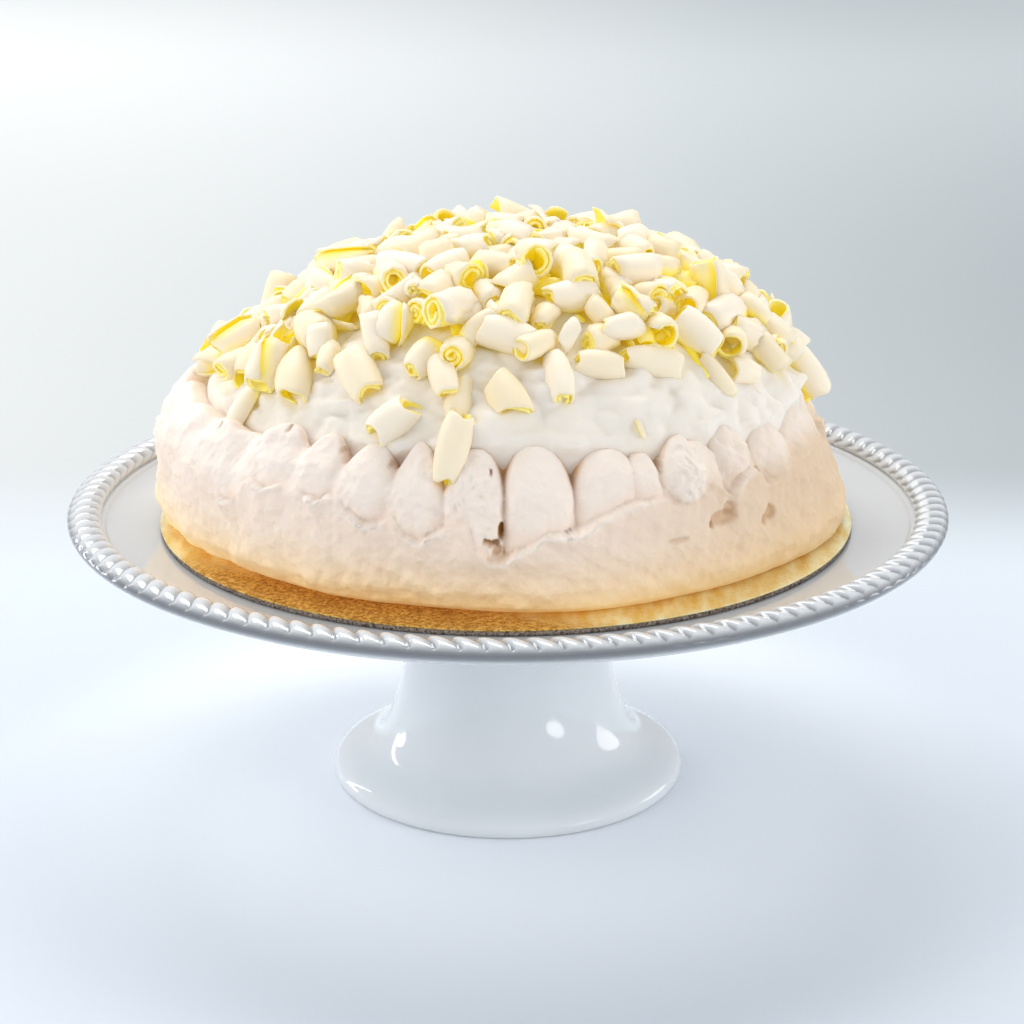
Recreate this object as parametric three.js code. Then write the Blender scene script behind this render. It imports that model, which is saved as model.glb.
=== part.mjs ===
// A vacherin cake on its footed porcelain cake stand.
// Millimetres, +Z up. The origin is on the table, under the middle of the foot.
// Azimuths are in degrees from the front (-Y), and grow to the right (+X).
import * as THREE from "three";

const GAP = 0.3; // air between pieces that touch
const TURN = 2 * Math.PI;

// Stand: one piece of glazed porcelain, hollow under the pedestal.
const STAND_SIDES = 48;
const PLATE_RADIUS = 160;
const RIM_TOP = 111;
const RIM_ROLL_WIDTH = 12;
const WELL_HEIGHT = 101;
const WELL_RADIUS = 132;
const FOOT_RADIUS = 66.5;
const COLUMN_RADIUS = 37;
const STAND_WALL = 5.5;

// Card: a gold cake board that lies in the well.
const CARD_RADIUS = 126.4;
const CARD_THICKNESS = 2;
const CARD_BOTTOM = WELL_HEIGHT + GAP;
const CARD_SIDES = 64;

// Cake: every height below is above the card.
const CAKE_BOTTOM = CARD_BOTTOM + CARD_THICKNESS;
const CAKE_OFFSET_X = -1.5;
const LIP_HEIGHT = 31;
const KISS_COUNT = 36;
const KISS_VALLEY_HEIGHT = 48.3;
const KISS_TIP_HEIGHT = 53;
const KISS_VALLEY_DEPTH = 8;
const CASE_FLOOR = 42;
const CASE_RIM = 48;
const CREAM_RISE = 47.5;
const HEAP_DEPTH = 8.6;
const HEAP_SIDE_DEPTH = 3; // more depth where the heap reaches over the kisses
const HEAP_LUMP = 2.2;
const DOME_SIDES = 60;

// Kisses across the front, by the azimuth of their tips; the rest are evenly spaced.
const FRONT_TIPS = [-64, -52.5, -43, -33, -24.5, -15.5, -5, 4.5, 18, 26.5, 35, 43, 51, 59, 68];

// Chocolate curls that lie apart from the heap. Each has its azimuth, its place
// down the cream (0 at the top, 1 at the edge), the turn of its axis down the
// slope, its radius, its length, how far it is rolled up in turns, and its lift.
const CURL_SHEET = 1.3;
const CURL_PITCH = 2.5;
const LOOSE_CURLS = [
  { azimuth: -58.5, down: 0.973, turn: 80, radius: 4.3, length: 15, rolled: 0.9, lift: 3.5 },
  { azimuth: -49, down: 0.87, turn: 50, radius: 7.2, length: 17, rolled: 1.2, lift: 0 },
  { azimuth: -21, down: 0.945, turn: -50, radius: 7.6, length: 17, rolled: 1.5, lift: 1 },
  { azimuth: -9, down: 0.885, turn: 95, radius: 5.4, length: 13, rolled: 1.3, lift: 0 },
  { azimuth: -9, down: 0.99, turn: 95, radius: 5.8, length: 18, rolled: 1.2, lift: 5 },
  { azimuth: 0.3, down: 0.883, turn: 65, radius: 6.4, length: 13, rolled: 1.4, lift: 0 },
  { azimuth: 11.9, down: 0.842, turn: 90, radius: 5.9, length: 17, rolled: 1.6, lift: 0 },
  { azimuth: 22, down: 0.817, turn: 15, radius: 5.9, length: 14, rolled: 1.3, lift: 0 },
  { azimuth: 34.8, down: 0.824, turn: 20, radius: 6, length: 17, rolled: 1.3, lift: 0 },
  { azimuth: 50, down: 0.885, turn: 85, radius: 4.2, length: 16, rolled: 0.9, lift: 0 },
  { azimuth: 58.5, down: 0.897, turn: 20, radius: 5, length: 9, rolled: 0.8, lift: 0 },
  { azimuth: 89, down: 0.975, turn: 90, radius: 6.3, length: 22, rolled: 1.2, lift: 2.5 },
];

const paint = (color, roughness, metalness = 0) =>
  new THREE.MeshStandardMaterial({ color, roughness, metalness });
const porcelain = paint("#eef2f4", 0.15);
const goldCard = paint("#d9a441", 0.35, 1);
const meringue = paint("#f8e6d8", 0.9);
const whippedCream = paint("#fdfbf6", 0.7);
const whiteChocolate = paint("#fbeecb", 0.6);

const radians = (degrees) => (degrees * Math.PI) / 180;
const mix = (low, high, share) => low + (high - low) * share;
const towardsSides = (azimuth) => Math.sin(azimuth) ** 2;
// A scattered value from -1 to 1 that is the same each time for the same two numbers.
const scatter = (first, second) => {
  const value = Math.sin(12.9898 * first + 78.233 * second) * 43758.5453;
  return 2 * (value - Math.floor(value)) - 1;
};

function named(name, geometry, material) {
  const mesh = new THREE.Mesh(geometry, material);
  mesh.name = name;
  return mesh;
}

// A point at a radius and azimuth (in radians), at a height.
function around(azimuth, radius, height) {
  return [radius * Math.sin(azimuth), -radius * Math.cos(azimuth), height];
}

// A closed body from rings that run from the middle of its underside, out and up
// over its surface, to the middle of its top. Every ring has the same columns.
function ringedBody(rings, underside, top) {
  const columns = rings[0].length;
  const positions = [[0, 0, underside], [0, 0, top], ...rings.flat()].flat();
  const at = (ring, column) => 2 + ring * columns + (column % columns);
  const last = rings.length - 1;
  const faces = [];
  for (let column = 0; column < columns; column += 1) {
    const next = column + 1;
    faces.push(0, at(0, next), at(0, column));
    faces.push(1, at(last, column), at(last, next));
    for (let ring = 0; ring < last; ring += 1) {
      faces.push(at(ring, column), at(ring, next), at(ring + 1, next));
      faces.push(at(ring, column), at(ring + 1, next), at(ring + 1, column));
    }
  }
  const geometry = new THREE.BufferGeometry();
  geometry.setAttribute("position", new THREE.Float32BufferAttribute(positions, 3));
  geometry.setIndex(faces);
  geometry.computeVertexNormals();
  return geometry;
}

// The stand is turned from one outline: up inside the hollow pedestal, out round
// the foot, up the flared column, out under the plate, over the rim and into the well.
function cakeStand() {
  const hollow = [
    [0, 83],
    [COLUMN_RADIUS - STAND_WALL - 1.5, 83],
    [COLUMN_RADIUS - STAND_WALL - 0.5, 62],
    [COLUMN_RADIUS - STAND_WALL + 2.5, 34],
    [39, 14.5],
    [48, 6],
    [FOOT_RADIUS - STAND_WALL, 0],
  ];
  const pedestal = [
    [FOOT_RADIUS - 1.5, 0],
    [FOOT_RADIUS - 0.5, 2.4],
    [FOOT_RADIUS - 1.3, 5.2],
    [60.5, 8.4],
    [54.2, 10.8],
    [49.4, 14],
    [45.4, 19.6],
    [42, 30],
    [COLUMN_RADIUS + 1.9, 45],
    [COLUMN_RADIUS + 0.5, 58],
    [COLUMN_RADIUS, 72],
    [43, 87],
  ];
  const bandRadius = PLATE_RADIUS - 5.4;
  const underPlate = [
    [62, WELL_HEIGHT - 8],
    [110, WELL_HEIGHT - 4.5],
    [150, WELL_HEIGHT - 1],
    [bandRadius, WELL_HEIGHT + 1.4],
  ];
  const rollMiddle = PLATE_RADIUS - RIM_ROLL_WIDTH / 2;
  const rim = [
    [PLATE_RADIUS - 1.2, RIM_TOP - 6.6],
    [PLATE_RADIUS, RIM_TOP - 3.8],
    [PLATE_RADIUS - 2.5, RIM_TOP - 0.7],
    [rollMiddle, RIM_TOP],
    [rollMiddle - 4, RIM_TOP - 1],
    [rollMiddle - 6.5, RIM_TOP - 4.5],
    [rollMiddle - 9, RIM_TOP - 7.7],
  ];
  const well = [
    [WELL_RADIUS, WELL_HEIGHT],
    [0, WELL_HEIGHT],
  ];
  const outline = [...hollow, ...pedestal, ...underPlate, ...rim, ...well];
  const points = outline.map(([radius, height]) => new THREE.Vector2(radius, height));
  const geometry = new THREE.LatheGeometry(points, STAND_SIDES);
  geometry.rotateX(Math.PI / 2);
  return named("cake_stand", geometry, porcelain);
}

function cakeCard() {
  const geometry = new THREE.CylinderGeometry(CARD_RADIUS, CARD_RADIUS, CARD_THICKNESS, CARD_SIDES);
  geometry.rotateX(Math.PI / 2);
  const mesh = named("gold_card", geometry, goldCard);
  mesh.position.set(-0.7, 0, CARD_BOTTOM + CARD_THICKNESS / 2);
  return mesh;
}

// The tips of all the kisses, in degrees, once round the cake.
function kissTips() {
  const first = FRONT_TIPS[0];
  const last = FRONT_TIPS[FRONT_TIPS.length - 1];
  const behind = KISS_COUNT - FRONT_TIPS.length;
  const pitch = (360 + first - last) / (behind + 1);
  const tips = [...FRONT_TIPS];
  for (let kiss = 1; kiss <= behind; kiss += 1) {
    tips.push(last + kiss * pitch + 1.5 * Math.sin(5 * kiss));
  }
  return tips;
}

// Four columns to a kiss: the valley before it, its two flanks and its tip. Each
// column has its azimuth and how far it stands out, from 0 in a valley to 1 at a tip.
function kissColumns() {
  const tips = kissTips();
  const columns = [];
  tips.forEach((tip, kiss) => {
    const before = kiss === 0 ? tips[tips.length - 1] - 360 : tips[kiss - 1];
    const after = kiss === tips.length - 1 ? tips[0] + 360 : tips[kiss + 1];
    const start = mix(before, tip, 0.5);
    const end = mix(tip, after, 0.5);
    const size = 1 + 0.15 * Math.sin(7 * kiss);
    columns.push({ azimuth: radians(start), out: 0, size });
    columns.push({ azimuth: radians(mix(start, tip, 0.5)), out: 0.6, size });
    columns.push({ azimuth: radians(tip), out: 1, size });
    columns.push({ azimuth: radians(mix(tip, end, 0.5)), out: 0.6, size });
  });
  return columns;
}

// The cake is a little wider than it is deep and leans to the left as it rises:
// a radius at the front, one at the sides, and what the lean takes off the right.
function ovalRadius(azimuth, front, side, lean) {
  return mix(front, side, towardsSides(azimuth)) - lean * Math.sin(azimuth);
}

// The height of the wavy lip that the smoothed wall ends in, with its one deep dip.
function lipHeight(azimuth) {
  const dip = 10 * Math.exp(-(((azimuth + 0.03) / 0.06) ** 2));
  return LIP_HEIGHT + 2.5 * Math.sin(6.5 * azimuth + 0.9) - dip;
}

// The meringue case's inner edge, where the cream starts.
const caseRadius = (azimuth) => ovalRadius(azimuth, 95, 101.5, 1);
const CASE_FLARE = 4.5;

// The meringue case: a smoothed wall, a wavy lip, and a ring of piped kisses.
function meringueCase() {
  const columns = kissColumns();
  const ring = (place) => columns.map((column) => around(column.azimuth, ...place(column)));
  const wall = (front, side, lean, height) =>
    ring(({ azimuth }) => [ovalRadius(azimuth, front, side, lean), height]);
  const kiss = (front, side, lean, height) =>
    ring(({ azimuth, out, size }) => [
      ovalRadius(azimuth, front, side, lean) - KISS_VALLEY_DEPTH * (1 - out * size),
      height,
    ]);
  const lip = (front, side, rise) =>
    ring(({ azimuth }) => [ovalRadius(azimuth, front, side, 4.3), lipHeight(azimuth) + rise]);
  const rings = [
    wall(109.5, 116, -2.5, GAP),
    wall(116, 122.5, -0.2, 5),
    wall(118, 122.8, 1.6, 17),
    lip(118, 121.5, -1),
    lip(115, 118.5, 1),
    kiss(115.5, 119.5, 6, 39.5),
    kiss(111.5, 116, 6, 45),
    ring(({ azimuth, out, size }) => [
      ovalRadius(azimuth, 103.5, 110, 3.5),
      mix(KISS_VALLEY_HEIGHT, KISS_TIP_HEIGHT, out ** 1.5 * size),
    ]),
    ring(({ azimuth }) => [caseRadius(azimuth) + CASE_FLARE, CASE_RIM]),
    ring(({ azimuth }) => [caseRadius(azimuth), CASE_FLOOR]),
  ];
  return named("meringue_case", ringedBody(rings, GAP, CASE_FLOOR), meringue);
}

// How squarely the cream's dome drops to its edge: most at the front, least at the left.
const creamPower = (azimuth) =>
  2.65 + 0.35 * Math.sin(azimuth) + 0.75 * Math.max(Math.cos(azimuth), 0) ** 2;

// The cream's dome: the point at an azimuth and a place down the dome (0 at its
// top, 1 at the case), lifted off it along its normal.
function onCream(azimuth, down, lift) {
  const edge = caseRadius(azimuth) + CASE_FLARE;
  const power = creamPower(azimuth);
  const slope = (CREAM_RISE * power * down ** (power - 1)) / edge;
  const normal = new THREE.Vector2(slope, 1).normalize();
  const height = CASE_RIM + CREAM_RISE * (1 - down ** power);
  return around(azimuth, edge * down + lift * normal.x, height + lift * normal.y);
}

// How far down the dome the heap of curls reaches: least at the front.
const heapEdge = (azimuth) => 0.735 + 0.14 * towardsSides(azimuth) ** 2;

// Columns shared by the cream and the heap, so that their facets stay parallel.
const DOME_AZIMUTHS = Array.from({ length: DOME_SIDES }, (_, side) => (side * TURN) / DOME_SIDES);
const HEAP_BED = [1, 0.7, 0.35]; // shared rings under the heap, as shares of its edge

function cream() {
  const ring = (place) => DOME_AZIMUTHS.map(place);
  const clear = 2 * GAP;
  const bare = [0.85, 0.6, 0.3].map((share) =>
    ring((azimuth) => {
      const fold = 0.8 * Math.sin(9 * azimuth + 12 * share) * Math.sin(4 * azimuth);
      return onCream(azimuth, mix(heapEdge(azimuth), 1, share), fold - GAP);
    }),
  );
  const bed = HEAP_BED.map((share) =>
    ring((azimuth) => onCream(azimuth, share * heapEdge(azimuth), 0)),
  );
  const rings = [
    ring((azimuth) => around(azimuth, caseRadius(azimuth) - clear, CASE_FLOOR + GAP)),
    ring((azimuth) => around(azimuth, caseRadius(azimuth) + CASE_FLARE - clear, CASE_RIM + GAP)),
    ...bare,
    ...bed,
  ];
  const geometry = ringedBody(rings, CASE_FLOOR + GAP, CASE_RIM + CREAM_RISE);
  return named("whipped_cream", geometry, whippedCream);
}

// The heap of curls as one body with a lumpy top, lying on the cream.
function curlHeap() {
  const ring = (place) => DOME_AZIMUTHS.map(place);
  const bed = [...HEAP_BED].reverse().map((share) =>
    ring((azimuth) => onCream(azimuth, share * heapEdge(azimuth), GAP)),
  );
  const cover = [
    [1.03, 4.5],
    [1, HEAP_DEPTH],
    ...[0.87, 0.72, 0.57, 0.42, 0.27, 0.13].map((share) => [share, HEAP_DEPTH]),
  ].map(([share, depth], row) =>
    ring((azimuth, column) => {
      const lump = HEAP_LUMP * Math.min(1, 2 * share) * scatter(row, column >> 1);
      const side = HEAP_SIDE_DEPTH * towardsSides(azimuth) * share;
      return onCream(azimuth, share * heapEdge(azimuth), depth + lump + side);
    }),
  );
  const bedMiddle = CASE_RIM + CREAM_RISE + GAP;
  const geometry = ringedBody([...bed, ...cover], bedMiddle, bedMiddle + HEAP_DEPTH);
  return named("curl_heap", geometry, whiteChocolate);
}

// The section of a rolled sheet: a spiral that tightens inwards by a fixed pitch.
function rolledSection(radius, rolled) {
  const steps = Math.ceil(rolled * 9);
  const spiral = (inset) =>
    Array.from({ length: steps + 1 }, (_, step) => {
      const turned = (rolled * step) / steps;
      const reach = radius - inset - CURL_PITCH * turned;
      return new THREE.Vector2(reach * Math.cos(TURN * turned), reach * Math.sin(TURN * turned));
    });
  return new THREE.Shape([...spiral(0), ...spiral(CURL_SHEET).reverse()]);
}

// A curl lies on the cream with its axis along the slope's surface: it is built
// along +Z, then stood on the frame of the surface's normal and its level line.
function looseCurl(curl, index) {
  const geometry = new THREE.ExtrudeGeometry(rolledSection(curl.radius, curl.rolled), {
    depth: curl.length,
    bevelEnabled: false,
  });
  geometry.translate(0, 0, -curl.length / 2);
  const azimuth = radians(curl.azimuth);
  const centre = new THREE.Vector3(...onCream(azimuth, curl.down, curl.radius + 2 * GAP + curl.lift));
  const bed = new THREE.Vector3(...onCream(azimuth, curl.down, 0));
  const normal = centre.clone().sub(bed).normalize();
  const level = new THREE.Vector3(Math.cos(azimuth), Math.sin(azimuth), 0);
  const axis = level.clone().applyAxisAngle(normal, -radians(curl.turn));
  const across = new THREE.Vector3().crossVectors(normal, axis);
  const mesh = named(`loose_curl_${String(index + 1).padStart(2, "0")}`, geometry, whiteChocolate);
  mesh.quaternion.setFromRotationMatrix(new THREE.Matrix4().makeBasis(across, normal, axis));
  mesh.position.copy(centre);
  return mesh;
}

const cake = new THREE.Group();
cake.position.set(CAKE_OFFSET_X, 0, CAKE_BOTTOM);
cake.add(meringueCase(), cream(), curlHeap(), ...LOOSE_CURLS.map(looseCurl));

const part = new THREE.Group();
part.add(cakeStand(), cakeCard(), cake);

export default part;
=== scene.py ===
import math

import bpy
import numpy as np
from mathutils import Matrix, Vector


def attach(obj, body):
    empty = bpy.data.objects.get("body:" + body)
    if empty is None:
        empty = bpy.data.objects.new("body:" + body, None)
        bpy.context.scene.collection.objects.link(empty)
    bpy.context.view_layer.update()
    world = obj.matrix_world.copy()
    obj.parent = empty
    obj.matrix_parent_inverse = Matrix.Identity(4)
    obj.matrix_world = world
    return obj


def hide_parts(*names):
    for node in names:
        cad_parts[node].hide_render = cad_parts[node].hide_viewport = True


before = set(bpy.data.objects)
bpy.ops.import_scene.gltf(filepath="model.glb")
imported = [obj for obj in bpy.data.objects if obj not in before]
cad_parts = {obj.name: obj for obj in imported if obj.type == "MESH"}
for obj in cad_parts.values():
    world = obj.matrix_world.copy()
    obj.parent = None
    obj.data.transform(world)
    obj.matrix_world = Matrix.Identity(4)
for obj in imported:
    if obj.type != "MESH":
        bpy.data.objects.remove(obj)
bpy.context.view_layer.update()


# ---------------------------------------------------------------- camera
# A long lens about 87 cm from the cake and a little higher than its top. It looks down on
# the cake from the front.

MM = 0.001
LENS_LENGTH = 82.69
LENS_SHIFT = -0.0245
CAMERA_PLACE = np.array([1.5, -825.3, 373.3]) * MM
LOOKS_DOWN_DEGREES = 17.63

camera_data = bpy.data.cameras.new("camera")
camera_data.sensor_width = 36
camera_data.lens = LENS_LENGTH
camera_data.shift_y = LENS_SHIFT
camera = bpy.data.objects.new("camera", camera_data)
camera.location = CAMERA_PLACE
camera.rotation_euler = (math.radians(90 - LOOKS_DOWN_DEGREES), 0, 0)
bpy.context.scene.collection.objects.link(camera)
bpy.context.scene.camera = camera


# ---------------------------------------------------------------- floor and light
# A wide floor of pale matt paper. Daylight comes from a broad window at the left, a
# weaker one at the right and one overhead; small lamps show only in the glaze.

FLOOR_REACH = 7000
DAYLIGHT = 0.76


def linear(hex_colour, alpha=1.0):
    """An sRGB hex value as linear red, green, blue and alpha."""
    values = [int(hex_colour[i:i + 2], 16) / 255 for i in (1, 3, 5)]
    return [v / 12.92 if v <= 0.04045 else ((v + 0.055) / 1.055) ** 2.4 for v in values] + [alpha]


def add_node(material, kind, settings=(), links=()):
    """Adds a shader node. Settings are (name or socket, value) pairs, where a hex value is
    turned to linear; links are (socket of the new node, output) pairs, where a node stands
    for its first output in use."""
    tree = material.node_tree
    node = tree.nodes.new("ShaderNode" + kind)
    for name, value in settings:
        if isinstance(value, str) and value.startswith("#"):
            value = linear(value)
        if isinstance(name, str) and hasattr(node, name):
            setattr(node, name, value)
        else:
            node.inputs[name].default_value = value
    for name, output in links:
        if isinstance(output, bpy.types.Node):
            output = next(socket for socket in output.outputs if socket.enabled)
        tree.links.new(output, node.inputs[name])
    return node


def new_material(name):
    """An empty node material and its Object coordinates."""
    material = bpy.data.materials.new(name)
    material.use_nodes = True
    material.node_tree.nodes.clear()
    return material, add_node(material, "TexCoord").outputs["Object"]


def new_piece(name, points, faces, material):
    """A smooth-shaded object from points in millimetres and faces, linked to the scene."""
    mesh = bpy.data.meshes.new(name)
    mesh.from_pydata((points * MM).tolist(), [], faces)
    mesh.polygons.foreach_set("use_smooth", np.ones(len(mesh.polygons), bool))
    mesh.materials.append(material)
    piece = bpy.data.objects.new(name, mesh)
    bpy.context.scene.collection.objects.link(piece)
    return piece


def grid_mesh(name, points, material, wrap=True, cap_start=None, cap_end=None):
    """A mesh from a grid of points, rows by columns, in millimetres. The columns go
    round when wrap is set, and a cap point closes the first or the last row."""
    rows, columns = points.shape[:2]
    vertices = points.reshape(-1, 3)
    index = np.arange(rows * columns).reshape(rows, columns)
    right = np.roll(index, -1, axis=1) if wrap else index[:, 1:]
    left = index if wrap else index[:, :-1]
    quads = np.stack([left[:-1], right[:-1], right[1:], left[1:]], -1).reshape(-1, 4)
    faces = quads.tolist()
    for cap, row, turned in ((cap_start, 0, True), (cap_end, rows - 1, False)):
        if cap is None:
            continue
        tip = len(vertices)
        vertices = np.vstack([vertices, [cap]])
        fan = np.stack([left[row], right[row], np.full(left.shape[1], tip)], -1)
        faces += (fan[:, ::-1] if turned else fan).tolist()
    return new_piece(name, vertices, faces, material)


paper, paper_place = new_material("matt_studio_paper")
# Graduated studio paper with painted light and shade: painted palest under the object, where the stand's
# shadow falls, painted darker behind it and towards the right, where less light falls, and lighter again far
# behind.
paper_axes = add_node(paper, "SeparateXYZ", [], [("Vector", paper_place)])
paper_reach = add_node(paper, "VectorMath", [("operation", "LENGTH")], [(0, paper_place)])
paper_fade = {}
for part, measure, start, end in (("round", paper_reach, 0.1, 0.21),
                                  ("side", paper_axes.outputs["X"], -0.5, 0.6),
                                  ("behind", paper_axes.outputs["Y"], 0.2, 0.4),
                                  ("far", paper_axes.outputs["Y"], 0.6, 2.2)):
    paper_fade[part] = add_node(paper, "MapRange", [("interpolation_type", "SMOOTHSTEP"),
                                                    (1, start), (2, end)], [(0, measure)])
paper_tones = {}
for part, fade_part, first, second in (("near", "round", "#f2f6fb", "#d3dae2"),
                                       ("behind", "side", "#cdd0d0", "#9ea6aa"),
                                       ("far", "side", "#f2f5f5", "#d6dee1")):
    paper_tones[part] = add_node(paper, "Mix", [("data_type", "RGBA"), (6, first), (7, second)],
                                 [(0, paper_fade[fade_part])])
# The painted light and shade of the paper, mixed by place.
paper_back = add_node(paper, "Mix", [("data_type", "RGBA")], [
    (0, paper_fade["far"]), (6, paper_tones["behind"]), (7, paper_tones["far"])])
paper_tone = add_node(paper, "Mix", [("data_type", "RGBA")], [
    (0, paper_fade["behind"]), (6, paper_tones["near"]), (7, paper_back)])
paper_shader = add_node(paper, "BsdfPrincipled", [
    ("Roughness", 0.85), ("Specular IOR Level", 0.2)], [("Base Color", paper_tone)])
add_node(paper, "OutputMaterial", [], [(0, paper_shader)])

floor_lines = np.linspace(-FLOOR_REACH, FLOOR_REACH, 3)
floor_x, floor_y = np.meshgrid(floor_lines, floor_lines)
floor = grid_mesh("studio_floor", np.stack([floor_x, floor_y, 0 * floor_x], -1), paper, wrap=False)


def soft_box(name, place, size, watts, in_gloss=True, on_surfaces=True):
    """A white area light at a place in metres that looks at the cake. A window shows no
    reflection of its own; a small round lamp is there for its reflection alone."""
    data = bpy.data.lights.new(name, "AREA")
    data.shape = "RECTANGLE" if on_surfaces else "ELLIPSE"
    data.size, data.size_y = size
    data.energy = watts
    light = bpy.data.objects.new(name, data)
    light.location = place
    light.rotation_euler = (Vector((0, 0, 0.13)) - Vector(place)).to_track_quat("-Z", "Y").to_euler()
    light.visible_glossy = in_gloss
    light.visible_diffuse = on_surfaces
    light.visible_camera = False
    bpy.context.scene.collection.objects.link(light)


soft_box("far_left", (-1.6, 2.4, 1.6), (1.4, 1.4), 24, in_gloss=False)
soft_box("window_left", (-1.35, -0.75, 0.75), (1.0, 0.9), 7.9, in_gloss=False)
soft_box("window_right", (1.4, -0.6, 0.5), (0.5, 0.5), 4.2, in_gloss=False)
soft_box("bounce_right", (0.95, -0.35, 0.12), (0.5, 0.2), 1.2, in_gloss=False)
soft_box("overhead", (-0.1, 0.75, 1.5), (1.2, 0.6), 12.5)
soft_box("window_frame_left", (-1.1, 0.62, 0.4), (0.1, 1.0), 1.6)
soft_box("lamp_left", (-1.15, 0.5, 0.12), (0.26, 0.26), 0.8, on_surfaces=False)
soft_box("lamp_front", (0.95, -0.9, 0.12), (0.42, 0.12), 0.55, on_surfaces=False)
soft_box("lamp_right", (1.2, 0.3, 0.14), (0.6, 0.34), 1.3, on_surfaces=False)

world = bpy.data.worlds.new("studio")
world.use_nodes = True
world.node_tree.nodes["Background"].inputs[0].default_value = linear("#f3f4f6")
world.node_tree.nodes["Background"].inputs[1].default_value = DAYLIGHT
bpy.context.scene.world = world
bpy.context.scene.view_settings.view_transform = "Standard"


# ---------------------------------------------------------------- cake stand
# A footed plate of white glazed porcelain, slip-cast in one piece and hollow under
# the foot. Its rim is a rope: a roll cut all round by slanting, curved grooves.

PLATE_RADIUS = 160
PLATE_TOP = 101
RIM_TOP = 111
HOLLOW_TOP = 83
ROPE_TURNS = 124
ROPE_WIDTH = 12
ROPE_HEIGHT = 7.4
GROOVE_DEPTH = 1.4
GROOVE_SLANT = 0.4
STEPS_PER_TURN = 8


def along(corners, steps, tension=0.5):
    """A smooth curve through corner points: each span is a cubic whose ends point
    along the line between the neighbours on either side."""
    corners = np.asarray(corners, float)
    padded = np.vstack([2 * corners[0] - corners[1], corners, 2 * corners[-1] - corners[-2]])
    slope = tension * (padded[2:] - padded[:-2])
    t = np.linspace(0, 1, steps, endpoint=False)[:, None, None]
    start, end = corners[:-1], corners[1:]
    curve = ((2 * t**3 - 3 * t**2 + 1) * start + (t**3 - 2 * t**2 + t) * slope[:-1]
             + (3 * t**2 - 2 * t**3) * end + (t**3 - t**2) * slope[1:])
    return np.vstack([curve.transpose(1, 0, 2).reshape(-1, 2), corners[-1:]])


def smooth_step(low, high, value):
    """0 before low, 1 after high, and an S curve between. Low may be the larger."""
    share = np.clip((value - low) / (high - low), 0, 1)
    return share * share * (3 - 2 * share)


# Outlines as radius and height: the hollow, the foot and column, the plate's underside.
hollow = along([(30, HOLLOW_TOP), (31, 62), (34, 34), (39, 14.5), (48, 6), (61, 0.4)], 2)
foot = along([(62, 0), (64.6, 0), (65.8, 1.2), (66, 3.2), (65.3, 5.2), (63.3, 7.1), (59.4, 8.9),
              (54.4, 10.8), (50, 13.6), (46.4, 18.4), (43.6, 25.5), (41.2, 34), (39.1, 45), (37.7, 58),
              (37.1, 70), (38, 80), (43, 87.5), (57, 92.2), (80, 94.8), (110, 96.8), (140, 99.6),
              (150.5, 101.5)], 2)
band = along([(153.4, 102.2), (154.8, 103), (155.4, 103.7)], 3)
inner_side = along([(147.4, 105.2), (146.4, 104.4), (145.6, 103.8), (141, 102.5), (134, 101.4),
                    (126, 101.02), (100, PLATE_TOP), (50, PLATE_TOP), (8, PLATE_TOP)], 2)

# The rope: its section is an ellipse, passed from its outer foot over the top.
section_degrees = np.concatenate([(-62, -40, -22), np.linspace(-8, 190, 16), (208, 226)])
section = np.radians(section_degrees)
rope_middle = PLATE_RADIUS - ROPE_WIDTH / 2
rope_axis = RIM_TOP - ROPE_HEIGHT / 2
rope = np.stack([rope_middle + ROPE_WIDTH / 2 * np.cos(section),
                 rope_axis + ROPE_HEIGHT / 2 * np.sin(section)], -1)

outline = np.vstack([hollow, foot, band, rope, inner_side])
first_rope_row = len(hollow) + len(foot) + len(band)
turn_steps = np.arange(ROPE_TURNS * STEPS_PER_TURN) / STEPS_PER_TURN
around = np.tile(turn_steps * 2 * np.pi / ROPE_TURNS, (len(outline), 1))
radius = np.tile(outline[:, :1], (1, len(turn_steps)))
height = np.tile(outline[:, 1:], (1, len(turn_steps)))

# A groove runs over the rope from its outer side to its inner side in a slight S. Between
# two grooves the rope rises steeply and falls away gently; its outer side is plain.
fade = (smooth_step(-4, 50, section_degrees) * smooth_step(196, 158, section_degrees))[:, None]
bead = np.sin(np.pi * (turn_steps % 1) ** 0.62) ** 0.85
cut = GROOVE_DEPTH * fade * (1 - bead)
rows = slice(first_rope_row, first_rope_row + len(section))
radius[rows] -= cut * np.cos(section)[:, None]
height[rows] -= cut * np.sin(section)[:, None]
around[rows] -= GROOVE_SLANT * fade * np.sin(section - np.radians(82))[:, None] * 2 * np.pi / ROPE_TURNS
stand_points = np.stack([radius * np.cos(around), radius * np.sin(around), height], -1)

# Painted shade: the glaze is painted greyer in the grooves and on the rope's outer side,
# where shade falls, and a little on the plate.
rope_painted_shade = np.zeros(radius.shape)
rope_painted_shade[rows] = np.maximum(fade * (0.12 + 0.68 * (1 - bead) ** 1.2),
                          (smooth_step(62, 8, section_degrees)
                           * (1 - 0.95 * smooth_step(0, -50, section_degrees)))[:, None])
rope_painted_shade[rows.stop:] = 0.2


def add_mark(piece, name, values):
    """Stores one value for each vertex as a named attribute."""
    mesh = piece.data
    filled = np.zeros(len(mesh.vertices), np.float32)
    filled[:values.size] = values.reshape(-1)
    mesh.attributes.new(name, "FLOAT", "POINT").data.foreach_set("value", filled)


porcelain, glaze_place = new_material("glazed_white_porcelain")
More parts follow.
